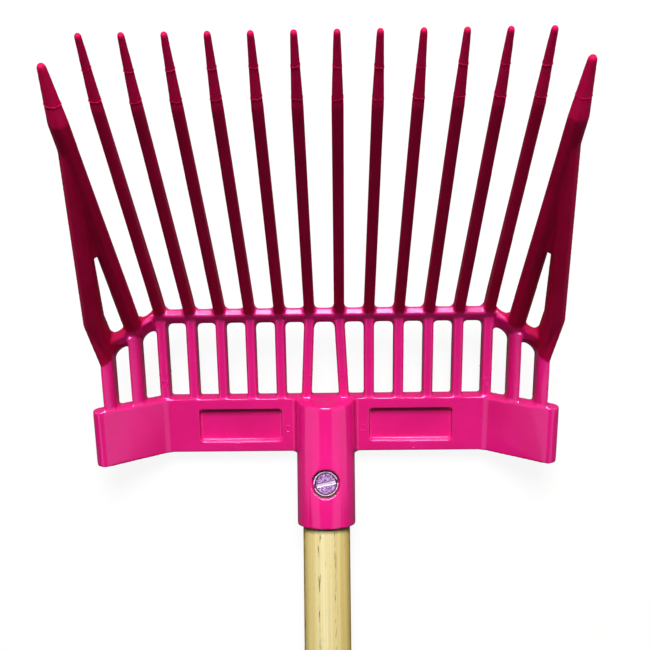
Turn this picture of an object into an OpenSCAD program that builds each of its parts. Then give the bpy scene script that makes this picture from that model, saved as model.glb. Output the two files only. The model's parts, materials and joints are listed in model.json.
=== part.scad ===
// Manure fork with a moulded basket head on a round wooden handle.
// The fork lies on its back with its load side up: X runs across the head, +Y runs from the
// handle to the tines, +Z is up. The origin is on the handle's axis, at the mouth of the socket.

/* [Handle] */
// Diameter of the round handle
handle_d = 25.4; // [22:0.1:30]
// Whole length of the handle, with the part inside the socket
handle_len = 914; // [400:1:1500]
// Rounding of the edge at the butt end
butt_round = 5; // [1:0.5:10]
// How much thinner the handle is at its end inside the socket
tenon_taper = 0.8; // [0:0.1:2]

/* [Socket] */
// Length of handle inside the socket
socket_depth = 56; // [40:1:58]
// Length of the socket along its back
socket_len = 67; // [62:0.5:70]
// Wall of the socket round the handle
socket_wall = 2.85; // [2.4:0.05:4]
// Clearance all round between handle and socket
socket_clear = 0.15; // [0.1:0.05:0.4]

/* [Bolt] */
// Distance of the bolt from the socket's mouth
bolt_y = 23.5; // [14:0.5:30]
// Diameter of the bolt's shank
bolt_d = 6; // [4:0.1:7]
// Diameter of the bolt's head and of the nut's head
bolt_head_d = 13; // [11:0.1:14]
// Thickness of the bolt's head and of the nut's head
bolt_head_t = 1.5; // [1:0.1:2.3]
// Width of the slot in the head
slot_w = 2; // [1:0.1:3]
// Depth of the slot in the head
slot_depth = 0.8; // [0.4:0.1:0.9]
// Turn of the slot on the bolt's axis
slot_turn = 12; // [0:1:180]
// Wall of the nut's barrel round the bolt
nut_wall = 1.2; // [0.8:0.1:2]
// Length of the nut's barrel
nut_len = 14; // [8:0.5:18]
// Clearance all round between bolt and barrel, and between barrel and hole
bolt_clear = 0.1; // [0.05:0.05:0.3]
// Clearance all round a head in its recess
recess_clear = 1; // [0.2:0.1:1.2]
// How deep the heads are let into the handle
seat_sink = 1.2; // [0.4:0.1:2]

/* [Header] */
// Thickness of the header band
band_t = 10; // [9.6:0.1:13]
// Height of the header band
band_h = 31; // [24:0.5:36]
// Fillet where the socket stands out of the band
socket_fillet = 2.5; // [1:0.1:4]
// Length of a wing past the bend, to the centre of its round end
wing_len = 36; // [34:0.5:48]
// Forward bend of the wings
wing_bend = 33; // [20:1:45]
// Radius in front, where a wing bends out of the band
bend_fillet = 8; // [2:0.5:10]
// Width of a recessed panel
panel_w = 45.2; // [20:0.1:50]
// Height of a recessed panel
panel_h = 18.8; // [10:0.1:20]
// Depth of a recessed panel
panel_depth = 3.2; // [0.5:0.1:4]
// Corner radius of a recessed panel
panel_r = 2; // [0.5:0.1:4]
// Distance of a panel's centre from the middle of the head
panel_x = 46.6; // [44:0.1:52]
// Distance of a panel's centre below the band's top face
panel_drop = 15.4; // [12:0.1:17]

/* [Back] */
// Distance of the heel bar in front of the socket's mouth
heel_y = 113; // [110:0.5:125]
// Height of the heel bar above the handle's axis
heel_z = 8; // [4:0.5:11]
// Lean of the back from the handle's axis
back_lean = 15; // [10:1:18]
// Height of the back bars, from the band's top face to the heel bar's centre
back_h = 45.5; // [40:0.5:50]
// Spacing of the tines and of the back bars
pitch = 15.9; // [14:0.1:18]
// Spacing of the wing bars along a wing
wing_pitch = 15.4; // [14:0.1:16.5]
// Width of a back bar and of a tine's root
bar_w = 5.5; // [4.5:0.1:6.5]
// Depth of a back bar and of a tine's root
bar_d = 8.6; // [8:0.1:9.4]
// Chamfer along the edges of the bars and tines
bar_chamfer = 1; // [0.4:0.1:1.5]
// Fillet where a bar stands on the band
foot_fillet = 1.5; // [0.5:0.1:2.5]
// How far the middle two bars spread apart at the band
middle_spread = 2.2; // [0:0.1:4]
// Height of the heel bar
heel_h = 7.4; // [6:0.1:8.5]
// Height of the heel bar's front ridge above its centre
heel_ridge = -0.3; // [-1:0.1:1]
// Lean of the heel bar's upper front face
heel_lean = 20; // [5:1:35]
// Fillet where the heel bar meets a tine
heel_fillet = 2.2; // [0.5:0.1:3]
// Fillet where the heel bar meets a side tine or a brace
wing_fillet = 3.4; // [0.5:0.1:3.5]
// How much higher and lower the heel bar reaches on the wings
wing_grow = 0.8; // [0:0.1:1.2]
// How far the heel bar drops from one wing bar to the next
wing_drop = 6; // [3:0.5:8]

/* [Tines] */
// Length of a tine from the heel bar's centre
tine_len = 174; // [120:1:220]
// Rise of the tines from the handle's axis
tine_rise = 56; // [48:1:62]
// Width of a tine where its tip starts to taper
tine_w = 4.8; // [4:0.1:5.4]
// Depth of a tine where its tip starts to taper
tine_d = 6; // [5:0.1:8]
// How much a tine narrows on each side towards its underside, where its tip starts to taper
tine_keel = 1.2; // [0:0.1:1.6]
// Length of the tapered tip
tip_len = 32; // [20:1:60]
// Diameter of the round point
point_d = 2.7; // [1.5:0.1:3.5]
// How far the outermost tines draw in towards the middle at their tips
draw_in = 1.4; // [0:0.1:4]

/* [Side tines] */
// Length of a side tine from the heel bar's centre
side_len = 167.5; // [125:0.5:215]
// Width and depth of a side tine's root
side_d = 8.8; // [8:0.1:10.5]
// Width and depth of a side tine where its tip starts to taper
side_tip_d = 8; // [7:0.1:10]
// Chamfer along the edges of the side tines and braces
side_chamfer = 2.4; // [1:0.1:3]
// Length of the tapered tip of a side tine
side_tip_len = 25; // [15:1:32]
// How far a side tine draws in towards the middle at its tip
side_draw_in = 1.2; // [0:0.1:8]
// Diameter of a side tine's round point
side_point_d = 3.4; // [2:0.1:4.5]

/* [Braces] */
// Width of a brace above its gusset
brace_w = 9.2; // [8.5:0.1:11]
// Depth of a brace above its gusset
brace_d = 12; // [9:0.1:13]
// How far a brace bows outwards above its gusset
brace_bow = 0.8; // [0:0.1:2]
// Width and depth of a brace where it meets the side tine
brace_end_d = 6.4; // [5:0.1:6.8]
// Length of the gusset that widens from the wing bar to the brace
gusset_len = 24; // [16:0.5:40]
// Lean of the seat where the gusset stands on the wing bar
seat_lean = 43; // [30:1:50]
// How far that seat lies below the heel bar's centre
seat_drop = 3.2; // [0:0.1:6]
// Distance along the side tine where the brace runs into it
brace_reach = 135; // [90:1:136]

/* [Hidden] */
$fn = 96;
eps = 0.01;
moulding = "#E0187C";
wood = "#E3D6A0";
plated = "#C9C4D2";

tine_count = 12;
inner_bar = 1;
outer_bar = 2;
left = -1;
right = 1;
sides = [["left", left], ["right", right]];
bar_names = [for (i = [1:tine_count]) str("back_bar_", i)];
tine_names = [for (i = [1:tine_count]) str("tine_", i)];
side_names = [for (s = sides) each [
    str("wing_bar_inner_", s[0]), str("wing_bar_outer_", s[0]),
    str("side_tine_", s[0]), str("brace_", s[0])]];

handle_r = handle_d / 2;
bore_r = handle_r + socket_clear;
socket_r = bore_r + socket_wall;
recess_z = handle_r - seat_sink;
recess_r = bolt_head_d / 2 + recess_clear;
barrel_r = bolt_d / 2 + bolt_clear + nut_wall;
bolt_hole_r = barrel_r + bolt_clear;

heel = [0, heel_y, heel_z];
corner_x = (tine_count - 1) / 2 * pitch;
half_bend = (tine_rise - back_lean) / 2;
band_top = -back_h;
fillet_steps = [0, 0.1, 0.3, 0.6, 1];
point_steps = [0, 30, 55, 75];
end_steps = [-90:22.5:90];
bend_steps = [1:-0.25:0];

// Direction along a bar that is turned up by an angle, and the direction of its load side
function along(a) = [0, cos(a), sin(a)];
function load(a) = [0, -sin(a), cos(a)];
// A point of the back, from its distance across, up the back and out to the load side
function back(x, v, w) = heel + [x, 0, 0] + v * along(back_lean) + w * load(back_lean);
// How far a fillet of radius r stands out, at distance u * r from the face that it runs into
function fillet_out(r, u) = r * (1 - sqrt(1 - pow(1 - u, 2)));
function tine_x(i) = (i - (tine_count + 1) / 2) * pitch;
// The wing's bar k steps past the corner: its place across, and out to the load side
function wing_x(k) = corner_x + k * wing_pitch * cos(wing_bend);
function wing_w(k) = k * wing_pitch * sin(wing_bend);
function wing_heel(k) = back(wing_x(k), -k * wing_drop, wing_w(k));

// An outline of eight points, w wide and from depth lo to hi. Its load side has chamfers of size c,
// and its underside narrows by keel on each side over the height rise
function keeled(w, lo, hi, c, keel, rise) = [
    [w / 2 - keel, lo], [w / 2, lo + rise], [w / 2, hi - c], [w / 2 - c, hi],
    [c - w / 2, hi], [-w / 2, hi - c], [-w / 2, lo + rise], [keel - w / 2, lo]];
function chamfered(w, lo, hi, c) = keeled(w, lo, hi, c, c, c);
function octagon(r, middle) = chamfered(2 * r, middle - r, middle + r, r * (2 - sqrt(2)));
// Such an outline set across a bar at centre c. The bar is turned up by a, and its end leans by skew
function ring(c, a, outline, skew = 0) =
    [for (p = outline) c + [p.x, 0, 0] + p.y * load(a) + p.y * tan(skew) * along(a)];

// A solid through a list of rings that all have the same number of points
module loft(rings) {
    n = len(rings[0]);
    last = (len(rings) - 1) * n;
    walls = [for (k = [0:len(rings) - 2]) for (i = [0:n - 1])
        let (a = k * n + i, b = k * n + (i + 1) % n)
        each [[a, b, a + n], [b, b + n, a + n]]];
    caps = [[for (i = [n - 1:-1:0]) i], [for (i = [0:n - 1]) last + i]];
    polyhedron([for (r = rings) each r], concat(walls, caps));
}

module mirrored(side) {
    mirror([side == left ? 1 : 0, 0, 0]) children();
}

module rounded_panel(w, h, r) {
    square([w - 2 * r, h], center = true);
    square([w, h - 2 * r], center = true);
    for (x = [-1, 1], y = [-1, 1]) translate([x * (w / 2 - r), y * (h / 2 - r)]) circle(r);
}

// Outline of a back bar whose load side faces the way that the band does there
function bar_outline(bend, wider = 0) =
    let (half = bar_d / 2 / cos(bend))
    [for (p = chamfered(bar_w + wider, -half, half, bar_chamfer)) p + [0, p.x * tan(bend)]];
// The end of a back bar at the heel bar
function bar_top(top, bend, lean) = ring(top, back_lean, bar_outline(bend), -lean);
function wing_seat(k) = k == inner_bar ? wing_heel(k) : wing_heel(k) - seat_drop * along(back_lean);
function wing_top(k) = bar_top(wing_seat(k), wing_bend, k == inner_bar ? half_bend : seat_lean);

// A back bar from the band's top face to its end at the heel bar
module bar(foot, top, bend) {
    feet = [for (u = fillet_steps)
        ring(foot + u * foot_fillet * along(back_lean), back_lean,
            bar_outline(bend, 2 * fillet_out(foot_fillet, u)))];
    loft(concat(feet, [top]));
}

// A tapered tine from the mitre at the heel bar to its round point, with a straight underside
module tapered_tine(root, length, tip, root_w, root_d, w, d, c, keel, shift, end_d) {
    a = tine_rise;
    under = -d / 2;
    r = end_d / 2;
    function at(s) = root + s * along(a) + [shift * s / length, 0, 0];
    point = [for (u = point_steps)
        ring(at(length - r + r * sin(u)), a, octagon(r * cos(u), under + r))];
    loft(concat([
        ring(root, a, chamfered(root_w, -root_d / 2, root_d / 2, c), half_bend),
        ring(at(length - tip), a, keeled(w, under, d / 2, c, keel, d / 2))], point));
}

// How far the load faces of the tines, and the undersides of bars turned up by a, lie out from the heel
function heel_front(y) = bar_d / 2 / cos(tine_rise) + y * tan(tine_rise);
function heel_under(y, a) = y * tan(a) - bar_d / 2 / cos(a);
// Outline of the heel bar, made higher by grow. Its lower front face lies in the tines' load faces
function heel_outline(grow) =
    let (top = heel_h / 2 + grow, mitre = bar_d / 2 / cos(half_bend), middle = back_lean + half_bend)
    let (ridge = heel_front(heel_ridge))
    [[heel_ridge, ridge], [top, ridge - (top - heel_ridge) * tan(heel_lean)],
        [top, heel_under(top, tine_rise)], mitre * [sin(middle), -cos(middle)],
        [-top, heel_under(-top, back_lean)], [-top, heel_front(-top)]];

// A link of the heel bar between two places, made higher by grow and filleted at both ends
module link(from, to, r, grow = 0) {
    span = to.x - from.x;
    steps = [for (u = fillet_steps) u * r / span];
    places = concat(steps, [for (i = [len(steps) - 1:-1:0]) 1 - steps[i]]);
    loft([for (t = places)
        let (c = from + t * (to - from), higher = grow + fillet_out(r, min(1, min(t, 1 - t) * span / r)))
        [for (p = heel_outline(higher)) c + [0, p.x, p.y]]]);
}

module side_tine_bar() {
    tapered_tine(wing_heel(inner_bar), side_len, side_tip_len, side_d, side_d, side_tip_d, side_tip_d,
        side_chamfer, side_chamfer, -side_draw_in, side_point_d);
}

module brace_bar() {
    start = wing_heel(outer_bar);
    target = wing_heel(inner_bar) + brace_reach * along(tine_rise)
        - [side_draw_in * brace_reach / side_len, 0, 0];
    rise = target - start;
    a = atan2(rise.z, rise.y);
    under = -bar_d / 2;
    end = brace_end_d / 2;
    loft([
        wing_top(outer_bar),
        ring(start + gusset_len * along(a) + [brace_bow, 0, 0], a,
            chamfered(brace_w, under, under + brace_d, side_chamfer)),
        ring(target, a, chamfered(brace_end_d, -end, end, side_chamfer))]);
}

module handle() {
    color(wood) difference() {
        union() {
            rotate([90, 0, 0]) rotate_extrude() handle_profile();
            rotate([-90, 0, 0]) cylinder(h = socket_depth, r1 = handle_r, r2 = handle_r - tenon_taper / 2);
        }
        translate([0, bolt_y, 0]) cylinder(h = 2 * socket_r, r = bolt_hole_r, center = true);
        recesses();
    }
}

// Half of the handle outside the socket, from its mouth to the round edge of the butt
module handle_profile() {
    out = handle_len - socket_depth;
    square([handle_r, out - butt_round]);
    square([handle_r - butt_round, out]);
    translate([handle_r - butt_round, out - butt_round]) intersection() {
        circle(butt_round);
        square(butt_round);
    }
}

// The two round holes in which the heads of bolt and nut sit on the handle
module recesses() {
    for (turn = [0, 180]) translate([0, bolt_y, 0]) rotate([0, turn, 0])
        translate([0, 0, recess_z]) cylinder(h = 2 * socket_r, r = recess_r);
}

module on_back() {
    translate(heel) rotate([back_lean, 0, 0]) children();
}

// The band seen along the back: straight in the middle, with a wing bent forward at each end
module band_outline() {
    h = band_t / 2;
    mitre = h * tan(wing_bend / 2);
    tip = [corner_x + wing_len * cos(wing_bend), wing_len * sin(wing_bend)];
    out = h + bend_fillet;
    middle = [corner_x - out * tan(wing_bend / 2), out];
    half = concat([[corner_x + mitre, -h]],
        [for (q = end_steps) tip + h * [cos(wing_bend + q), sin(wing_bend + q)]],
        [for (t = bend_steps) middle + bend_fillet * [sin(t * wing_bend), -cos(t * wing_bend)]]);
    polygon(concat(half, [for (i = [len(half) - 1:-1:0]) [-half[i].x, half[i].y]]));
}

// A corner strip that fills the angle between the band's front and the side of the socket
module strip_outline() {
    weld = socket_wall;
    translate([socket_r, band_t / 2]) difference() {
        translate([-weld, -weld]) square(socket_fillet + weld);
        translate([socket_fillet, socket_fillet]) circle(socket_fillet);
    }
}

// A web under the band that rounds its lower edge into the sides of the socket
module web_outline() {
    reach = socket_r + socket_fillet;
    difference() {
        translate([-reach, -socket_fillet]) square([2 * reach, socket_fillet + socket_wall]);
        for (x = [-reach, reach]) translate([x, -socket_fillet]) circle(socket_fillet);
    }
}

// The band with its two corner strips and the front half of its web
module band() {
    on_back() translate([0, band_top, 0]) {
        rotate([90, 0, 0]) linear_extrude(band_h) {
            band_outline();
            for (s = sides) mirrored(s[1]) strip_outline();
        }
        translate([0, -band_h, 0]) linear_extrude(band_t / 2) web_outline();
    }
}

module header() {
    beyond = 2 * socket_r;
    color(moulding) difference() {
        union() {
            band();
            difference() {
                rotate([-90, 0, 0]) cylinder(h = socket_len, r = socket_r);
                on_back() translate([-beyond, band_top, -beyond])
                    cube([2 * beyond, heel_y, 3 * beyond]);
            }
        }
        translate([0, -eps, 0]) rotate([-90, 0, 0]) cylinder(h = socket_depth + 2 * eps, r = bore_r);
        recesses();
        on_back() for (x = [-1, 1])
            translate([x * panel_x, band_top - panel_drop, band_t / 2 - panel_depth])
                linear_extrude(band_t) rounded_panel(panel_w, panel_h, panel_r);
    }
}

module heel_bar() {
    gap = bar_w / 2;
    color(moulding) {
        for (i = [1:tine_count - 1])
            link(heel + [tine_x(i) + gap, 0, 0], heel + [tine_x(i + 1) - gap, 0, 0], heel_fillet);
        for (s = sides) mirrored(s[1]) {
            corner = back(corner_x, 0, 0);
            inner = wing_heel(inner_bar);
            outer = wing_heel(outer_bar);
            step = (inner - corner) / (inner.x - corner.x);
            difference() {
                union() {
                    link(corner + gap * step, inner - gap * step, wing_fillet, wing_grow);
                    link(inner + gap * step, outer - gap * step, wing_fillet, wing_grow);
                }
                side_tine_bar();
                brace_bar();
            }
        }
    }
}

module back_bar(i) {
    x = tine_x(i);
    middle = abs(x) < pitch;
    color(moulding)
        bar(back(x + (middle ? sign(x) * middle_spread : 0), band_top, 0),
            bar_top(back(x, 0, 0), 0, half_bend), 0);
}

module wing_bar(k, side) {
    color(moulding) mirrored(side)
        bar(back(wing_x(k), band_top, wing_w(k)), wing_top(k), wing_bend);
}

module tine(i) {
    x = tine_x(i);
    color(moulding)
        tapered_tine(heel + [x, 0, 0], tine_len, tip_len, bar_w, bar_d, tine_w, tine_d,
            bar_chamfer, tine_keel, -draw_in * x / corner_x, point_d);
}

module side_tine(side) {
    color(moulding) mirrored(side) side_tine_bar();
}

module brace(side) {
    color(moulding) mirrored(side) difference() {
        brace_bar();
        side_tine_bar();
    }
}

module bolt() {
    color(plated) translate([0, bolt_y, 0]) {
        difference() {
            translate([0, 0, recess_z]) cylinder(h = bolt_head_t, d = bolt_head_d);
            translate([0, 0, recess_z + bolt_head_t - slot_depth / 2 + eps]) rotate([0, 0, slot_turn])
                cube([2 * recess_r, slot_w, slot_depth + 2 * eps], center = true);
        }
        translate([0, 0, -recess_z]) cylinder(h = 2 * recess_z, d = bolt_d);
    }
}

module barrel_nut() {
    color(plated) translate([0, bolt_y, -recess_z]) difference() {
        union() {
            translate([0, 0, -bolt_head_t]) cylinder(h = bolt_head_t, d = bolt_head_d);
            cylinder(h = nut_len, r = barrel_r);
        }
        cylinder(h = nut_len + eps, d = bolt_d + 2 * bolt_clear);
    }
}

handle();
header();
heel_bar();
bolt();
barrel_nut();
for (i = [1:tine_count]) {
    back_bar(i);
    tine(i);
}
for (s = sides) {
    wing_bar(inner_bar, s[1]);
    wing_bar(outer_bar, s[1]);
    side_tine(s[1]);
    brace(s[1]);
}
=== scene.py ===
import json
import math

import bpy
from mathutils import Euler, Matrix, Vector

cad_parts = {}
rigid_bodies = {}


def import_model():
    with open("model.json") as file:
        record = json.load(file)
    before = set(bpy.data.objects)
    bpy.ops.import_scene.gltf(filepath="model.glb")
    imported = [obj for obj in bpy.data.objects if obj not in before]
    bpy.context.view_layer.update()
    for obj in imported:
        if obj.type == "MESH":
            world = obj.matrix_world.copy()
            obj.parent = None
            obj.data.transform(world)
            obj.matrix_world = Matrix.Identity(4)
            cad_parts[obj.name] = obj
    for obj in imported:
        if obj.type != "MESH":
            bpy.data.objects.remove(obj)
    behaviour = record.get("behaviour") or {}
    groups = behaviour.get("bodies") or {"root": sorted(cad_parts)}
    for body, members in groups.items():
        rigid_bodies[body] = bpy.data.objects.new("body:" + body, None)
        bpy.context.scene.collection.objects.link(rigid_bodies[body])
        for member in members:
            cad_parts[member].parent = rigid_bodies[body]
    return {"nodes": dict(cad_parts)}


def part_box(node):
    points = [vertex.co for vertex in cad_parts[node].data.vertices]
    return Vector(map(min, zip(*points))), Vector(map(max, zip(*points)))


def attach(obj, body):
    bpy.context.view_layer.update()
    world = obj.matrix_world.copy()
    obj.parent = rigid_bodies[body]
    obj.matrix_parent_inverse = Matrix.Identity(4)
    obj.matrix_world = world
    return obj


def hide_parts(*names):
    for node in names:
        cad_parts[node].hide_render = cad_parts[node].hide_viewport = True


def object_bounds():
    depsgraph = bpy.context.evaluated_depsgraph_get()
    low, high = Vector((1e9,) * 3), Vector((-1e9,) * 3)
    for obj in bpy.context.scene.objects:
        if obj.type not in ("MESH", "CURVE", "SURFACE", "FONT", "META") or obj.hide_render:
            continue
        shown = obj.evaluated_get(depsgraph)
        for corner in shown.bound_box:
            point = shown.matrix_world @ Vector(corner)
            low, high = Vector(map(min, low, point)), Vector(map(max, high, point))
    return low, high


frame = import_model()
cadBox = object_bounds()
print("frame loaded:", len(frame["nodes"]), "nodes")

mm = 0.001
mixFrom, mixTo, mixOut = 6, 7, 2   # the sockets of a Mix node that carry colours
mostNoise = (0.3, 0.7)             # most values of a noise lie between these
waveTurn = math.tau / 20           # the scale at which a wave texture turns over once in a unit


def linear(hexColour):
    # sRGB hex to the linear colour that a shader takes
    channels = [int(hexColour[i:i + 2], 16) / 255 for i in (1, 3, 5)]
    return [c / 12.92 if c <= 0.04045 else ((c + 0.055) / 1.055) ** 2.4 for c in channels] + [1]


def grey(value):
    return [value, value, value, 1]


def addNode(tree, kind, inputs=None, stops=None, **settings):
    # a node with its settings, its two ramp stops, and its inputs as numbers or as links
    node = tree.nodes.new(kind)
    for name, value in settings.items():
        setattr(node, name, value)
    for i, (place, colour) in enumerate(stops or []):
        stop = node.color_ramp.elements[i]
        stop.position = place
        stop.color = colour
    for socket, value in (inputs or {}).items():
        if isinstance(value, bpy.types.NodeSocket):
            tree.links.new(value, node.inputs[socket])
        else:
            node.inputs[socket].default_value = value
    return node


def newMaterial(name):
    material = bpy.data.materials.new(name)
    material.use_nodes = True
    material.node_tree.nodes.clear()
    return material, material.node_tree


# camera: straight above the head, fitted to the photograph
cameraSetup = {
    "lensMm": 44.308,
    "sensorMm": 36,
    "nearestMm": 10,
    "placeMm": (6.47, 101.19, 436.95),
    "turnDegrees": (0.847, 0.816, -0.608),
}


def makeCamera():
    data = bpy.data.cameras.new("camera")
    data.lens = cameraSetup["lensMm"]
    data.sensor_width = cameraSetup["sensorMm"]
    data.clip_start = cameraSetup["nearestMm"] * mm
    camera = bpy.data.objects.new("camera", data)
    bpy.context.scene.collection.objects.link(camera)
    camera.location = Vector(cameraSetup["placeMm"]) * mm
    camera.rotation_mode = "ZXY"
    camera.rotation_euler = [math.radians(a) for a in cameraSetup["turnDegrees"]]
    bpy.context.scene.camera = camera
    print("camera placed")


# lights: each shines at the head from its azimuth (0 is beyond the tines) and elevation
lightSetup = {
    "aimMm": (0, 110, 30),
    "lamps": {
        "key": {"azimuth": 0, "elevation": 55.2, "farMm": 1200, "sizeMm": 560, "watts": 26.3},
        "fill_left": {"azimuth": 65, "elevation": 14, "farMm": 1000, "sizeMm": 500, "watts": 0.7},
        "fill_right": {"azimuth": -65, "elevation": 14, "farMm": 1000, "sizeMm": 500, "watts": 0.7},
    },
}


def makeLights():
    aim = Vector(lightSetup["aimMm"]) * mm
    for name, lamp in lightSetup["lamps"].items():
        data = bpy.data.lights.new(name, "AREA")
        data.size = lamp["sizeMm"] * mm
        data.energy = lamp["watts"]
        light = bpy.data.objects.new(name, data)
        bpy.context.scene.collection.objects.link(light)
        turn = Euler((math.radians(lamp["elevation"]), 0, math.radians(lamp["azimuth"])))
        outward = turn.to_matrix() @ Vector((0, 1, 0))
        light.location = aim + outward * lamp["farMm"] * mm
        light.rotation_euler = outward.to_track_quat("Z", "Y").to_euler()
    print("lights placed:", len(lightSetup["lamps"]))


# studio: white to the camera and dim as a light on the object, so that the lamps light it.
# Gloss sees two white soft boxes in a darker room
studio = {
    "ambient": 0.025,
    "softboxDegrees": (25, 57),   # each box reaches from here to here, left and right of overhead
    "softboxStartDegrees": -4,    # the dark between them begins here and goes on towards the handle
    "softboxEdge": 0.05,          # how softly a box ends
    "overhead": 0.15,             # what gloss sees between the boxes, where 1 is white
    "aside": (0, 0.1),            # the same below the boxes at the handle's side, left and right
    "asideBlend": 0.1,            # how softly left turns into right
    "asideDegrees": 13,           # that side begins so far round from straight across
    "floorMm": 6000,
    "floorColour": "#F7F5F2",
    "floorShadow": 0.09,          # the share of the floor that takes a shadow; the rest stays white
    "floorInGloss": 0.06,         # gloss sees the part of the floor that the head shades
    "shadowMm": (250, 800),       # near the head the floor keeps its shadow, further off it is white
}


def whiteRays(tree):
    # 1 for what the camera sees, directly, in gloss or through glass
    path = addNode(tree, "ShaderNodeLightPath").outputs
    shown = addNode(tree, "ShaderNodeMath", {0: path["Is Camera Ray"], 1: path["Is Glossy Ray"]},
                    operation="MAXIMUM")
    return addNode(tree, "ShaderNodeMath", {0: shown.outputs[0], 1: path["Is Transmission Ray"]},
                   operation="MAXIMUM").outputs[0]


def makeWorld():
    world = bpy.data.worlds.new("studio")
    bpy.context.scene.world = world
    world.use_nodes = True
    tree = world.node_tree
    tree.nodes.clear()
    way = addNode(tree, "ShaderNodeTexCoord").outputs["Generated"]
    axes = addNode(tree, "ShaderNodeSeparateXYZ", {"Vector": way}).outputs
    up = axes["Z"]
    aside = addNode(tree, "ShaderNodeMath", {0: axes["X"]}, operation="ABSOLUTE").outputs[0]
    behind = addNode(tree, "ShaderNodeMath", {0: axes["Y"], 1: -1}, operation="MULTIPLY").outputs[0]

    def beyond(lean, degrees, base):
        # 1 where the way leans further from its base than this
        past = addNode(tree, "ShaderNodeMath",
                       {0: base, 1: -math.tan(math.radians(degrees)), 2: lean},
                       operation="MULTIPLY_ADD")
        edge = studio["softboxEdge"]
        return addNode(tree, "ShaderNodeMapRange",
                       {"Value": past.outputs[0], "From Min": -edge, "From Max": edge}).outputs[0]

    # the dark between the boxes
    inner, outer = studio["softboxDegrees"]
    between = addNode(tree, "ShaderNodeMath", {0: 1, 1: beyond(aside, inner, up)},
                      operation="SUBTRACT")
    start = beyond(behind, studio["softboxStartDegrees"], up)
    overhead = addNode(tree, "ShaderNodeMath", {0: between.outputs[0], 1: start},
                       operation="MULTIPLY")
    # the dark below them at the handle's side
    left, right = studio["aside"]
    blend = studio["asideBlend"]
    sideLoss = addNode(tree, "ShaderNodeMapRange",
                       {"Value": axes["X"], "From Min": -blend, "From Max": blend,
                        "To Min": 1 - left, "To Max": 1 - right})
    low = addNode(tree, "ShaderNodeMath", {0: beyond(aside, outer, up), 1: sideLoss.outputs[0]},
                  operation="MULTIPLY")
    handleSide = beyond(behind, studio["asideDegrees"], aside)
    atSides = addNode(tree, "ShaderNodeMath", {0: low.outputs[0], 1: handleSide},
                      operation="MULTIPLY")
    loss = addNode(tree, "ShaderNodeMath",
                   {0: overhead.outputs[0], 1: 1 - studio["overhead"], 2: atSides.outputs[0]},
                   operation="MULTIPLY_ADD")
    inGloss = addNode(tree, "ShaderNodeLightPath").outputs["Is Glossy Ray"]
    lost = addNode(tree, "ShaderNodeMath", {0: loss.outputs[0], 1: inGloss}, operation="MULTIPLY")
    strength = addNode(tree, "ShaderNodeMath", {0: 1, 1: lost.outputs[0]}, operation="SUBTRACT")
    white = addNode(tree, "ShaderNodeBackground",
                    {"Color": grey(1), "Strength": strength.outputs[0]})
    dim = addNode(tree, "ShaderNodeBackground", {"Color": grey(1), "Strength": studio["ambient"]})
    mix = addNode(tree, "ShaderNodeMixShader",
                  {0: whiteRays(tree), 1: dim.outputs[0], 2: white.outputs[0]})
    addNode(tree, "ShaderNodeOutputWorld", {"Surface": mix.outputs[0]})
    print("world made")


def makeFloor():
    bpy.ops.object.select_all(action="DESELECT")
    bpy.ops.mesh.primitive_plane_add(size=studio["floorMm"] * mm, location=(0, 0, cadBox[0].z))
    floor = bpy.context.object
    floor.name = "floor"
    material, tree = newMaterial("matt_white_paper")
    matt = addNode(tree, "ShaderNodeBsdfDiffuse", {"Color": linear(studio["floorColour"])})
    black = addNode(tree, "ShaderNodeBsdfDiffuse", {"Color": grey(0)})
    inGloss = addNode(tree, "ShaderNodeLightPath").outputs["Is Glossy Ray"]
    strength = addNode(tree, "ShaderNodeMapRange",
                       {"Value": inGloss, "To Min": 1, "To Max": studio["floorInGloss"]})
    glow = addNode(tree, "ShaderNodeEmission", {"Color": grey(1), "Strength": strength.outputs[0]})
    near, far = studio["shadowMm"]
    spot = addNode(tree, "ShaderNodeTexCoord").outputs["Object"]
    away = addNode(tree, "ShaderNodeVectorMath", {0: spot}, operation="LENGTH").outputs["Value"]
    shade = addNode(tree, "ShaderNodeMapRange",
                    {"Value": away, "From Min": near * mm, "From Max": far * mm,
                     "To Min": studio["floorShadow"], "To Max": 0}).outputs[0]
    dark = addNode(tree, "ShaderNodeMixShader", {0: shade, 1: black.outputs[0], 2: matt.outputs[0]})
    seen = addNode(tree, "ShaderNodeMixShader", {0: shade, 1: glow.outputs[0], 2: matt.outputs[0]})
    mix = addNode(tree, "ShaderNodeMixShader",
                  {0: whiteRays(tree), 1: dark.outputs[0], 2: seen.outputs[0]})
    addNode(tree, "ShaderNodeOutputMaterial", {"Surface": mix.outputs[0]})
    floor.data.materials.append(material)
    print("floor made, height", cadBox[0].z)


# tines: they rise from the heel, where the back of the basket bends up into them
tines = {
    "heelMm": (0, 113, 8),
    "riseDegrees": 56,
}
tineTurn = math.radians(tines["riseDegrees"])
heelPlace = Vector(tines["heelMm"]) * mm
tineWay = Vector((0, math.cos(tineTurn), math.sin(tineTurn)))

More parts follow.
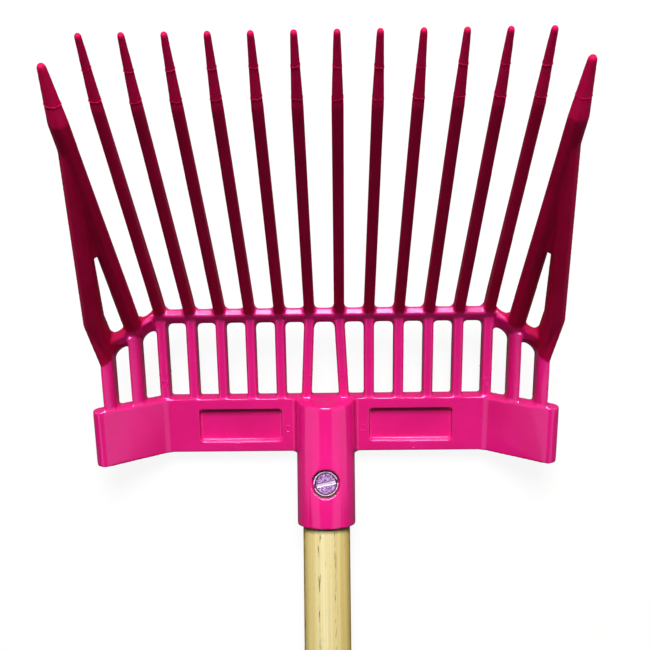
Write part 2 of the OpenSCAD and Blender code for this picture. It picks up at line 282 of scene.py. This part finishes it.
# moulded polypropylene: coloured all through, with faint flow marks, a peel like fine orange skin
# and a few short pale scuffs. The band's cavity is polished and leaves a gloss, a little duller
# towards the heel; the tines' cavities leave satin skin with drag lines. The satin skin's deeper,
# redder colours are painted shade, as the tines and braces look in their shade
plastic = {
    "shine": "#DCC8FF",
    "ior": 1.49,
    "flowMm": 24,
    "flowFrom": (0.35, 0.65),     # the noise goes from the deep colour to the bright one here
    "peelMm": 1.8,
    "peelHighMm": 0.02,
    "peelStrength": 0.4,
    "dragMm": (0.7, 45, 0.7),
    "dragHighMm": 0.03,
    "dragStrength": 0.6,
    "dragTint": 0.5,              # the drag lines' weight in the colour, beside the flow marks
    "scuff": "#F7B4DA",
    "scuffMm": (0.45, 2.6, 0.45),
    "scuffTurn": 0.6,             # which way the scuffs lie, in radians
    "scuffFrom": (0.79, 0.83),    # only the highest peaks of the noise are scuffed pale
    "scuffShare": 0.6,
    "heelMm": (70, 104),          # between the band and the heel the gloss grows duller
}
skins = {
    "gloss": {"colours": ("#DA1475", "#E3187E"), "roughness": (0.1, 0.17), "heelRougher": 0.08,
              "specular": 0.72, "drag": 0},
    # painted shade: this skin's deeper, redder colours stand in for the shade on the tines and
    # braces
    "satinShaded": {"colours": ("#C20F47", "#CE1251"), "roughness": (0.42, 0.55), "heelRougher": 0,
              "specular": 0.06, "drag": 1},
}


def mouldedPolypropylene(skin):
    material, tree = newMaterial("moulded_polypropylene_" + skin)
    finish = skins[skin]
    place = addNode(tree, "ShaderNodeTexCoord").outputs["Object"]
    flow = addNode(tree, "ShaderNodeTexNoise",
                   {"Vector": place, "Scale": 1000 / plastic["flowMm"], "Detail": 3}).outputs["Fac"]
    peel = addNode(tree, "ShaderNodeTexNoise",
                   {"Vector": place, "Scale": 1000 / plastic["peelMm"], "Detail": 2}).outputs["Fac"]
    alongTine = addNode(tree, "ShaderNodeMapping",
                        {"Vector": place, "Rotation": (tineTurn, 0, 0),
                         "Scale": Vector(plastic["dragMm"]) * mm}, vector_type="TEXTURE")
    drag = addNode(tree, "ShaderNodeTexNoise",
                   {"Vector": alongTine.outputs[0], "Scale": 1, "Detail": 3}).outputs["Fac"]
    tint = plastic["dragTint"] * finish["drag"]
    lines = addNode(tree, "ShaderNodeMath", {0: drag, 1: tint, 2: flow}, operation="MULTIPLY_ADD")
    least, most = [stop + tint / 2 for stop in plastic["flowFrom"]]
    deep, bright = finish["colours"]
    colour = addNode(tree, "ShaderNodeValToRGB", {"Fac": lines.outputs[0]},
                     [(least, linear(deep)), (most, linear(bright))])
    turned = addNode(tree, "ShaderNodeMapping",
                     {"Vector": place, "Rotation": (0, 0, plastic["scuffTurn"]),
                      "Scale": Vector(plastic["scuffMm"]) * mm}, vector_type="TEXTURE")
    ticks = addNode(tree, "ShaderNodeTexNoise",
                    {"Vector": turned.outputs[0], "Scale": 1, "Detail": 2}).outputs["Fac"]
    least, most = plastic["scuffFrom"]
    scuffed = addNode(tree, "ShaderNodeMapRange",
                      {"Value": ticks, "From Min": least, "From Max": most,
                       "To Max": plastic["scuffShare"]})
    worn = addNode(tree, "ShaderNodeMix",
                   {"Factor": scuffed.outputs[0], mixFrom: colour.outputs[0],
                    mixTo: linear(plastic["scuff"])}, data_type="RGBA")
    least, most = mostNoise
    smoothest, roughest = finish["roughness"]
    gloss = addNode(tree, "ShaderNodeMapRange",
                    {"Value": flow, "From Min": least, "From Max": most,
                     "To Min": smoothest, "To Max": roughest})
    axes = addNode(tree, "ShaderNodeSeparateXYZ", {"Vector": place}).outputs
    start, end = plastic["heelMm"]
    duller = addNode(tree, "ShaderNodeMapRange",
                     {"Value": axes["Y"], "From Min": start * mm, "From Max": end * mm,
                      "To Max": finish["heelRougher"]})
    rough = addNode(tree, "ShaderNodeMath", {0: gloss.outputs[0], 1: duller.outputs[0]},
                    operation="ADD")
    peeled = addNode(tree, "ShaderNodeBump",
                     {"Height": peel, "Strength": plastic["peelStrength"],
                      "Distance": plastic["peelHighMm"] * mm})
    dragged = addNode(tree, "ShaderNodeBump",
                      {"Height": drag, "Strength": plastic["dragStrength"] * finish["drag"],
                       "Distance": plastic["dragHighMm"] * mm, "Normal": peeled.outputs[0]})
    shader = addNode(tree, "ShaderNodeBsdfPrincipled",
                     {"Base Color": worn.outputs[mixOut], "Roughness": rough.outputs[0],
                      "Normal": dragged.outputs[0], "IOR": plastic["ior"],
                      "Specular IOR Level": finish["specular"],
                      "Specular Tint": linear(plastic["shine"])})
    addNode(tree, "ShaderNodeOutputMaterial", {"Surface": shader.outputs[0]})
    return material


# ash dowel: pale straw wood turned round, with long fine grain, short dark pores and a thin clear
# lacquer. The rings are drawn broader than real ones, as slow bands
wood = {
    "pale": "#E6DBAA",
    "straw": "#D5C284",
    "grainFrom": (0.62, 1),       # the grain goes from pale to straw here
    "lineMm": (0.75, 160, 0.75),
    "tintMm": (9, 300, 9),
    "tintShare": 0.5,
    "ringMm": 16.336,
    "ringBend": 0.6,
    "ringShare": 0.16,
    "heartMm": (19, 0, 24),
    "pore": "#4A3716",
    "poreMm": (0.36, 8, 0.36),
    "poreFrom": (0.7, 0.77),
    "poreDeepMm": 0.05,
    "poreStrength": 0.4,
    "rowMm": (8.4, 160, 8.4),
    "rowShiftMm": -3.9,
    "rowBend": 0.8,
    "rowFrom": (0.9, 0.99),       # only the crest of each wave is a row
    "rowShare": 0.16,
    "sideShadeTint": "#FFF2B8",        # painted shade: the sides of the dowel are tinted yellower, as they look in shade
    "sideMm": (4, 12.5),
    "socketShade": "#2A1D12",            # bare wood inside the socket, darkened as painted shade; below the rim, painted shade and a little dirt
    "socketShadeShare": 0.8,
    "rimMm": (-3.8, 0),           # the painted shade starts below the rim and is darkest inside
    "raggedMm": 1.6,              # how far its edge strays from line to line
    "roughness": 0.45,
    "ior": 1.5,
    "specular": 0.3,
}


def ashDowel():
    material, tree = newMaterial("lacquered_ash")
    place = addNode(tree, "ShaderNodeTexCoord").outputs["Object"]
    axes = addNode(tree, "ShaderNodeSeparateXYZ", {"Vector": place}).outputs
    noises = {}
    for part in ("lineMm", "tintMm", "poreMm"):
        stretched = addNode(tree, "ShaderNodeMapping",
                            {"Vector": place, "Scale": Vector(wood[part]) * mm},
                            vector_type="TEXTURE")
        noise = addNode(tree, "ShaderNodeTexNoise",
                        {"Vector": stretched.outputs[0], "Scale": 1, "Detail": 2})
        noises[part] = noise.outputs["Fac"]
    # growth rings about a heart beside the dowel: arcs on the sawn butt, slow bands along the side
    heart = addNode(tree, "ShaderNodeMapping",
                    {"Vector": place, "Location": Vector(wood["heartMm"]) * mm})
    rings = addNode(tree, "ShaderNodeTexWave",
                    {"Vector": heart.outputs[0], "Scale": waveTurn * 1000 / wood["ringMm"],
                     "Distortion": wood["ringBend"], "Detail": 1},
                    wave_type="RINGS", rings_direction="Y")
    ringed = addNode(tree, "ShaderNodeMath",
                     {0: rings.outputs["Fac"], 1: wood["ringShare"], 2: noises["lineMm"]},
                     operation="MULTIPLY_ADD")
    grain = addNode(tree, "ShaderNodeMath",
                    {0: noises["tintMm"], 1: wood["tintShare"], 2: ringed.outputs[0]},
                    operation="MULTIPLY_ADD")
    least, most = wood["grainFrom"]
    body = addNode(tree, "ShaderNodeValToRGB", {"Fac": grain.outputs[0]},
                   [(least, linear(wood["pale"])), (most, linear(wood["straw"]))])
    # the pores lie in the early wood, so most of them show as rows of dashes.
    # A wave starts at its trough, and half a turn of phase brings its crest there
    inRows = addNode(tree, "ShaderNodeMapping",
                     {"Vector": place, "Location": (wood["rowShiftMm"] * mm, 0, 0),
                      "Scale": Vector(wood["rowMm"]) * mm}, vector_type="TEXTURE")
    rows = addNode(tree, "ShaderNodeTexWave",
                   {"Vector": inRows.outputs[0], "Scale": waveTurn, "Distortion": wood["rowBend"],
                    "Phase Offset": math.pi}, bands_direction="X")
    least, most = wood["rowFrom"]
    row = addNode(tree, "ShaderNodeMapRange",
                  {"Value": rows.outputs["Fac"], "From Min": least, "From Max": most,
                   "To Max": wood["rowShare"]})
    inRow = addNode(tree, "ShaderNodeMath", {0: row.outputs[0], 1: noises["poreMm"]},
                    operation="ADD")
    least, most = wood["poreFrom"]
    pores = addNode(tree, "ShaderNodeValToRGB", {"Fac": inRow.outputs[0]},
                    [(least, grey(0)), (most, grey(1))])
    # painted shade: towards the sides the dowel is tinted yellower, as in its shade
    out = addNode(tree, "ShaderNodeMath", {0: axes["X"]}, operation="ABSOLUTE")
    inner, outer = wood["sideMm"]
    atSide = addNode(tree, "ShaderNodeMapRange",
                     {"Value": out.outputs[0], "From Min": inner * mm, "From Max": outer * mm})
    sideShaded = addNode(tree, "ShaderNodeMix",
                        {"Factor": atSide.outputs[0], mixFrom: body.outputs[0],
                         mixTo: linear(wood["sideShadeTint"])}, data_type="RGBA", blend_type="MULTIPLY")
    porous = addNode(tree, "ShaderNodeMix",
                     {"Factor": pores.outputs[0], mixFrom: sideShaded.outputs[mixOut],
                      mixTo: linear(wood["pore"])}, data_type="RGBA")
    # painted shade: the wood inside the socket and just below its rim is darkened, with a little
    # dirt at the rim
    below, inside = wood["rimMm"]
    ragged = wood["raggedMm"]
    shadeEdge = addNode(tree, "ShaderNodeMath", {0: noises["lineMm"], 1: ragged * mm, 2: axes["Y"]},
                  operation="MULTIPLY_ADD")
    socketShadeMask = addNode(tree, "ShaderNodeMapRange",
                    {"Value": shadeEdge.outputs[0], "From Min": (below + ragged / 2) * mm,
                     "From Max": (inside + ragged / 2) * mm, "To Max": wood["socketShadeShare"]})
    colour = addNode(tree, "ShaderNodeMix",
                     {"Factor": socketShadeMask.outputs[0], mixFrom: porous.outputs[mixOut],
                      mixTo: linear(wood["socketShade"])}, data_type="RGBA")
    bump = addNode(tree, "ShaderNodeBump",
                   {"Height": pores.outputs[0], "Strength": wood["poreStrength"],
                    "Distance": wood["poreDeepMm"] * mm}, invert=True)
    shader = addNode(tree, "ShaderNodeBsdfPrincipled",
                     {"Base Color": colour.outputs[mixOut], "Roughness": wood["roughness"],
                      "Normal": bump.outputs[0], "IOR": wood["ior"],
                      "Specular IOR Level": wood["specular"]})
    addNode(tree, "ShaderNodeOutputMaterial", {"Surface": shader.outputs[0]})
    return material


# zinc-plated steel: violet metal with a rough, hammered plating. The rim and the slot are milled,
# and are painted paler than the metal as a painted highlight, so that they stay bright. The groove
# and the slot's ends are painted dark: painted shade
zinc = {
    "plated": {"dark": "#7A4E94", "light": "#E0B0EA", "roughness": (0.35, 0.55), "metallic": 1},
    # painted highlight: the milled rim and slot are paler than the metal would show
    "milledHighlit": {"dark": "#DCC2EA", "light": "#F4E4FA", "roughness": (0.3, 0.45), "metallic": 0.5},
    # painted shade: this skin darkens the groove and the slot's ends
    "recessShade": {"dark": "#1E1224", "light": "#46304E", "roughness": (0.5, 0.7), "metallic": 0.3},
    "grainMm": 0.8,
    "grainFrom": (0.38, 0.6),     # the grain goes from dark to light here
    "grainHighMm": 0.08,
    "grainStrength": 0.6,
}


def zincPlatedSteel(skin):
    material, tree = newMaterial("zinc_" + skin + "_steel")
    finish = zinc[skin]
    place = addNode(tree, "ShaderNodeTexCoord").outputs["Object"]
    grain = addNode(tree, "ShaderNodeTexNoise",
                    {"Vector": place, "Scale": 1000 / zinc["grainMm"], "Detail": 4}).outputs["Fac"]
    least, most = zinc["grainFrom"]
    colour = addNode(tree, "ShaderNodeValToRGB", {"Fac": grain},
                     [(least, linear(finish["dark"])), (most, linear(finish["light"]))])
    least, most = mostNoise
    smoothest, roughest = finish["roughness"]
    gloss = addNode(tree, "ShaderNodeMapRange",
                    {"Value": grain, "From Min": least, "From Max": most,
                     "To Min": smoothest, "To Max": roughest})
    bump = addNode(tree, "ShaderNodeBump",
                   {"Height": grain, "Strength": zinc["grainStrength"],
                    "Distance": zinc["grainHighMm"] * mm})
    shader = addNode(tree, "ShaderNodeBsdfPrincipled",
                     {"Base Color": colour.outputs[0], "Roughness": gloss.outputs[0],
                      "Normal": bump.outputs[0], "Metallic": finish["metallic"]})
    addNode(tree, "ShaderNodeOutputMaterial", {"Surface": shader.outputs[0]})
    return material


def applyModifier(piece, kind, **settings):
    bpy.context.view_layer.objects.active = piece
    modifier = piece.modifiers.new(kind.lower(), kind)
    for name, value in settings.items():
        setattr(modifier, name, value)
    bpy.ops.object.modifier_apply(modifier=modifier.name)


def selectOnly(*pieces):
    bpy.ops.object.select_all(action="DESELECT")
    for piece in pieces:
        piece.select_set(True)
    bpy.context.view_layer.objects.active = pieces[0]


def editAll(*pieces):
    selectOnly(*pieces)
    bpy.ops.object.mode_set(mode="EDIT")
    bpy.ops.mesh.select_all(action="SELECT")


def copiesOf(names):
    # copies of CAD nodes with their loose triangles merged, so that modifiers see closed solids
    selectOnly(*[frame["nodes"][name] for name in names])
    bpy.ops.object.duplicate()
    bpy.ops.object.parent_clear(type="CLEAR_KEEP_TRANSFORM")
    copies = list(bpy.context.selected_objects)
    editAll(*copies)
    bpy.ops.mesh.remove_doubles(threshold=0.001 * mm)
    bpy.ops.object.mode_set(mode="OBJECT")
    return copies


def joined(pieces):
    selectOnly(*pieces)
    bpy.ops.object.join()
    return bpy.context.object


def remove(*pieces):
    selectOnly(*pieces)
    bpy.ops.object.delete()


def setMaterials(piece, *materials):
    piece.data.materials.clear()
    for material in materials:
        piece.data.materials.append(material)


def finishPiece(piece, name, nodes):
    piece.name = name
    piece.data.name = name
    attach(piece, "root")
    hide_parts(*nodes)
    print(name, "made:", len(piece.data.polygons), "faces")


# the back of the basket, measured up along it from the heel and out from it
back = {
    "leanDegrees": 15,
    "bandMm": (-45.5, -76.5),
    "socketMm": 15.7,
    "cornerMm": 87.45,            # from here the heel line climbs along the wings
    "stepMm": 12.92,
    "stepShiftMm": (0, -7.97, 6.55),
    "seatMm": (-15.2, 16.8),      # where the braces stand on the outer bars
    "seatDegrees": 43,
    "seatFromMm": 106,
}
backTurn = math.radians(back["leanDegrees"])
backWay = Vector((0, math.cos(backTurn), math.sin(backTurn)))
backOut = Vector((0, -math.sin(backTurn), math.cos(backTurn)))


def onBack(xMm, upMm, outMm):
    return heelPlace + (Vector((xMm, 0, 0)) + backWay * upMm + backOut * outMm) * mm


# head: one moulding, so copies of its members are united and their edges softened
head = {
    "voxelMm": 0.45,
    "softenFactor": 0.5,
    "softenPasses": 6,
    "roundPasses": 14,
    "heelMm": (8, 12),            # the rounding is full up to the first distance, gone at the second
    "edgeMm": (2.2, 3.6),         # the same along the band's edges
    "shoulderMm": (3, 5),         # the same where the socket meets the band
    "triangles": 180000,
    "satinShadedFromMm": 7,             # how far up the tines their satin skin, with its painted shade, begins
}
loosePieces = ("handle", "bolt", "barrel_nut")
headNodes = [name for name in frame["nodes"] if name not in loosePieces]
tineNodes = [name for name in headNodes if name.startswith("tine_")]
sideNodes = [name for name in headNodes if name.startswith("side_tine_")]

# webs: a thin skin of plastic fills the crotch between each brace and its side tine
web = {
    "slabMm": (60, 92),           # where the crotch lies, measured up the tines
    "share": 0.5,                 # the skin's size in the hull of both members
}


def crotchWeb(side):
    piece = joined(copiesOf(["side_tine_" + side, "brace_" + side]))
    low, high = [heelPlace + tineWay * along * mm for along in web["slabMm"]]
    editAll(piece)
    bpy.ops.mesh.bisect(plane_co=low, plane_no=tineWay, clear_inner=True)
    bpy.ops.mesh.select_all(action="SELECT")
    bpy.ops.mesh.bisect(plane_co=high, plane_no=tineWay, clear_outer=True)
    bpy.ops.mesh.select_all(action="SELECT")
    bpy.ops.mesh.convex_hull()
    bpy.ops.object.mode_set(mode="OBJECT")
    corners = [vertex.co for vertex in piece.data.vertices]
    middle = sum(corners, Vector()) / len(corners)
    editAll(piece)
    bpy.ops.transform.resize(value=[web["share"]] * 3, center_override=middle)
    bpy.ops.object.mode_set(mode="OBJECT")
    return piece


def unitedMembers():
    webs = [crotchWeb(side) for side in ("left", "right")]
    members = copiesOf(headNodes) + webs
    piece = members[0]
    others = bpy.data.collections.new("members")
    for member in members[1:]:
        others.objects.link(member)
    applyModifier(piece, "BOOLEAN", operation="UNION", operand_type="COLLECTION", collection=others,
                  solver="EXACT", use_self=True)
    remove(*members[1:])
    bpy.data.collections.remove(others)
    return piece


def roundness(place):
    # 1 at the edges that the mould leaves well rounded, 0 where they stay crisp
    up = (place - heelPlace).dot(backWay) / mm
    past = max(0, abs(place.x) / mm - back["cornerMm"]) / back["stepMm"]
    heelLine = heelPlace + Vector(back["stepShiftMm"]) * past * mm
    top, foot = back["bandMm"]
    distances = {
        "heelMm": (place - heelLine).yz.length / mm,
        "edgeMm": min(abs(up - top), abs(up - foot)),
        "shoulderMm": math.hypot(place.xz.length / mm - back["socketMm"], up - top),
    }
    shares = []
    for zone, distance in distances.items():
        full, end = head[zone]
        shares.append((end - distance) / (end - full))
    return max(0, min(1, max(shares)))


def softenEdges(piece):
    applyModifier(piece, "SMOOTH", factor=head["softenFactor"], iterations=head["softenPasses"])
    group = piece.vertex_groups.new(name="rounded")
    levels = {}   # the vertices at each tenth of roundness
    for vertex in piece.data.vertices:
        levels.setdefault(round(roundness(vertex.co), 1), []).append(vertex.index)
    for weight, indices in levels.items():
        group.add(indices, weight, "REPLACE")
    applyModifier(piece, "SMOOTH", factor=head["softenFactor"], iterations=head["roundPasses"],
                  vertex_group=group.name)
    piece.vertex_groups.clear()


def lighten(piece):
    # the lighter mesh keeps the fine one's normals, so that flat and curved faces shade cleanly
    selectOnly(piece)
    bpy.ops.object.shade_smooth()
    bpy.ops.object.duplicate()
    fine = bpy.context.object
    triangles = 2 * len(piece.data.polygons)
    applyModifier(piece, "DECIMATE", ratio=min(1, head["triangles"] / triangles))
    applyModifier(piece, "DATA_TRANSFER", object=fine, use_loop_data=True,
                  data_types_loops={"CUSTOM_NORMAL"}, loop_mapping="POLYINTERP_NEAREST")
    remove(fine)


# witness lines: thin ridges round the tips, left where the inserts of the mould meet.
# The inserts were set by hand, so each line strays, tilts and stands out a little differently
witness = {
    "tineMm": (145.5, 159),       # how far up the tines they lie
    "sideMm": (152,),
    "strayMm": 0.5,
    "tiltDegrees": 9,
    "tiltStep": 2.3,              # the sines of tilt and height go on by these from line to line
    "highStep": 1.7,
    "wideMm": 0.32,
    "highMm": (0.05, 0.14),
}


def ridgeRound(name, place, across, highMm):
    # a thin slice of a member, swollen so that it stands out as a ridge
    ridge = copiesOf([name])[0]
    editAll(ridge)
    bpy.ops.mesh.bisect(plane_co=place, plane_no=across, clear_inner=True, use_fill=True)
    bpy.ops.mesh.select_all(action="SELECT")
    bpy.ops.mesh.bisect(plane_co=place + across * witness["wideMm"] * mm, plane_no=across,
                        clear_outer=True, use_fill=True)
    bpy.ops.mesh.select_all(action="SELECT")
    bpy.ops.transform.shrink_fatten(value=highMm * mm)
    bpy.ops.object.mode_set(mode="OBJECT")
    bpy.ops.object.shade_flat()
    return ridge


def tipLine(name, alongMm, turn):
    # turn counts the lines, and makes each a little different
    low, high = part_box(name)
    tilt = math.radians(witness["tiltDegrees"]) * math.sin(witness["tiltStep"] * turn)
    across = (tineWay + Vector((math.tan(tilt), 0, 0))).normalized()
    place = heelPlace + tineWay * (alongMm + witness["strayMm"] * math.sin(turn)) * mm
    place.x = (low.x + high.x) / 2
    least, most = witness["highMm"]
    highMm = least + (most - least) * abs(math.sin(witness["highStep"] * turn))
    return ridgeRound(name, place, across, highMm)


def tipLines():
    lines = [(name, along) for along in witness["tineMm"] for name in tineNodes]
    lines += [(name, along) for along in witness["sideMm"] for name in sideNodes]
    return [tipLine(name, along, turn) for turn, (name, along) in enumerate(lines, 1)]


# ejector pins: each leaves a small ring, and on the bars the line of its insert runs across above
pins = {
    "ringMm": 1.75,
    "ringWideMm": 0.26,
    "ringSteps": (40, 8),
    "placesMm": ((9.6, -34.2, 4.3), (87.45, -36.8, 4.3), (48.2, -73.2, 5), (20.6, -63, 5)),
    "linesMm": {"back_bar_6": -31.4, "back_bar_7": -31.4,
                "back_bar_1": -31.8, "back_bar_12": -30.6},
    "lineHighMm": 0.08,
}


def pinMarks():
    marks = []
    turn = backOut.to_track_quat("Z", "Y").to_euler()
    steps, tubeSteps = pins["ringSteps"]
    for x, up, out in pins["placesMm"]:
        for side in (-1, 1):
            bpy.ops.mesh.primitive_torus_add(location=onBack(side * x, up, out), rotation=turn,
                                             major_segments=steps, minor_segments=tubeSteps,
                                             major_radius=pins["ringMm"] * mm,
                                             minor_radius=pins["ringWideMm"] * mm)
            bpy.ops.object.shade_smooth()
            marks.append(bpy.context.object)
    for name, up in pins["linesMm"].items():
        marks.append(ridgeRound(name, onBack(0, up, 0), backWay, pins["lineHighMm"]))
    return marks


def setSkins(piece, gloss, satinShaded):
    # satin with painted shade up the tines and on the braces, gloss on the rest, with a clean line
    # between them
    setMaterials(piece, gloss, satinShaded)
    skinLine = heelPlace + tineWay * head["satinShadedFromMm"] * mm
    seat = onBack(0, *back["seatMm"])
    seatWay = (backWay + backOut * math.tan(math.radians(back["seatDegrees"]))).normalized()
    editAll(piece)
    bpy.ops.mesh.bisect(plane_co=skinLine, plane_no=tineWay)
    bpy.ops.mesh.select_all(action="SELECT")
    bpy.ops.mesh.bisect(plane_co=seat, plane_no=seatWay)
    bpy.ops.object.mode_set(mode="OBJECT")
    for face in piece.data.polygons:
        onTine = (face.center - skinLine).dot(tineWay) > 0
        onEnd = abs(face.center.x) > back["seatFromMm"] * mm
        onBrace = onEnd and (face.center - seat).dot(seatWay) > 0
        face.material_index = int(onTine or onBrace)


def makeHead(gloss, satinShaded):
    piece = unitedMembers()
    print("head united:", len(piece.data.polygons), "faces")
    applyModifier(piece, "REMESH", mode="VOXEL", voxel_size=head["voxelMm"] * mm)
    softenEdges(piece)
    lighten(piece)
    print("head softened:", len(piece.data.polygons), "faces")
    piece = joined([piece] + tipLines() + pinMarks())
    setSkins(piece, gloss, satinShaded)
    finishPiece(piece, "fork_head", headNodes)


# bolt and barrel nut: turned heads with their edges broken and a groove inside the rim
fastener = {
    "edgeMm": 0.3,
    "edgeSteps": 2,
    "edgeDegrees": 40,            # edges sharper than this are broken
    "flatDegrees": 1,             # faces that differ less than this become one
    "smoothDegrees": 25,
    "grooveMm": 5.6,
    "grooveWideMm": 0.34,
    "grooveSteps": (72, 8),
    "rimFrom": 0.9,               # the rim begins at this share of the groove's half width
    "slotMm": (0.5, 1),           # the slot's bottom lies between these depths
    "slotDegrees": 12,
    "slotEndMm": 5.1,             # painted shade darkens the slot from here out
    "level": (0.9, 0.99),         # how upright normals are at the slot's bottom and the head's top
}


def makeFastener(node, name, *steels):
    piece = copiesOf([node])[0]
    editAll(piece)
    bpy.ops.mesh.dissolve_limited(angle_limit=math.radians(fastener["flatDegrees"]))
    bpy.ops.object.mode_set(mode="OBJECT")
    low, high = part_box(node)
    middle = (low + high) / 2
    headEnd = max(low.z, high.z, key=abs)
    steps, tubeSteps = fastener["grooveSteps"]
    bpy.ops.mesh.primitive_torus_add(location=(middle.x, middle.y, headEnd),
                                     major_segments=steps, minor_segments=tubeSteps,
                                     major_radius=fastener["grooveMm"] * mm,
                                     minor_radius=fastener["grooveWideMm"] * mm)
    groove = bpy.context.object
    applyModifier(piece, "BEVEL", width=fastener["edgeMm"] * mm, segments=fastener["edgeSteps"],
                  limit_method="ANGLE", angle_limit=math.radians(fastener["edgeDegrees"]),
                  use_clamp_overlap=True)
    applyModifier(piece, "BOOLEAN", operation="DIFFERENCE", object=groove, solver="EXACT")
    remove(groove)
    slotTurn = math.radians(fastener["slotDegrees"])
    slotWay = Vector((math.cos(slotTurn), math.sin(slotTurn), 0))
    slotEnd = fastener["slotEndMm"] * mm
    for end in (-1, 1):
        editAll(piece)
        bpy.ops.mesh.bisect(plane_co=middle + slotWay * end * slotEnd, plane_no=slotWay)
        bpy.ops.object.mode_set(mode="OBJECT")
    setMaterials(piece, *steels)
    shallow, deepest = fastener["slotMm"]
    level, flat = fastener["level"]
    rim = fastener["grooveMm"] + fastener["rimFrom"] * fastener["grooveWideMm"]
    # the rim and slot take the painted highlight, the groove and the slot's ends the painted shade
    for face in piece.data.polygons:
        deep = abs(headEnd - face.center.z) / mm
        upright = abs(face.normal.z)
        fromGroove = abs((face.center - middle).xy.length / mm - fastener["grooveMm"])
        out = min((piece.data.vertices[i].co - middle).xy.length for i in face.vertices) / mm
        inSlot = shallow < deep < deepest and upright > level
        onRim = deep < shallow and out > rim
        inGroove = deep < shallow and fromGroove < fastener["grooveWideMm"] and upright < flat
        atEnd = inSlot and abs((face.center - middle).dot(slotWay)) > slotEnd
        face.material_index = 2 if inGroove or atEnd else int(inSlot or onRim)
    selectOnly(piece)
    bpy.ops.object.shade_smooth_by_angle(angle=math.radians(fastener["smoothDegrees"]))
    applyModifier(piece, "WEIGHTED_NORMAL", keep_sharp=True)
    finishPiece(piece, name, [node])


makeCamera()
makeLights()
makeWorld()
makeFloor()
makeHead(mouldedPolypropylene("gloss"), mouldedPolypropylene("satinShaded"))
steels = [zincPlatedSteel(skin) for skin in ("plated", "milledHighlit", "recessShade")]
makeFastener("bolt", "slotted_bolt", *steels)
makeFastener("barrel_nut", "barrel_nut_head", *steels)
setMaterials(frame["nodes"]["handle"], ashDowel())
print("handle finished")

bpy.context.scene.view_settings.view_transform = "Standard"
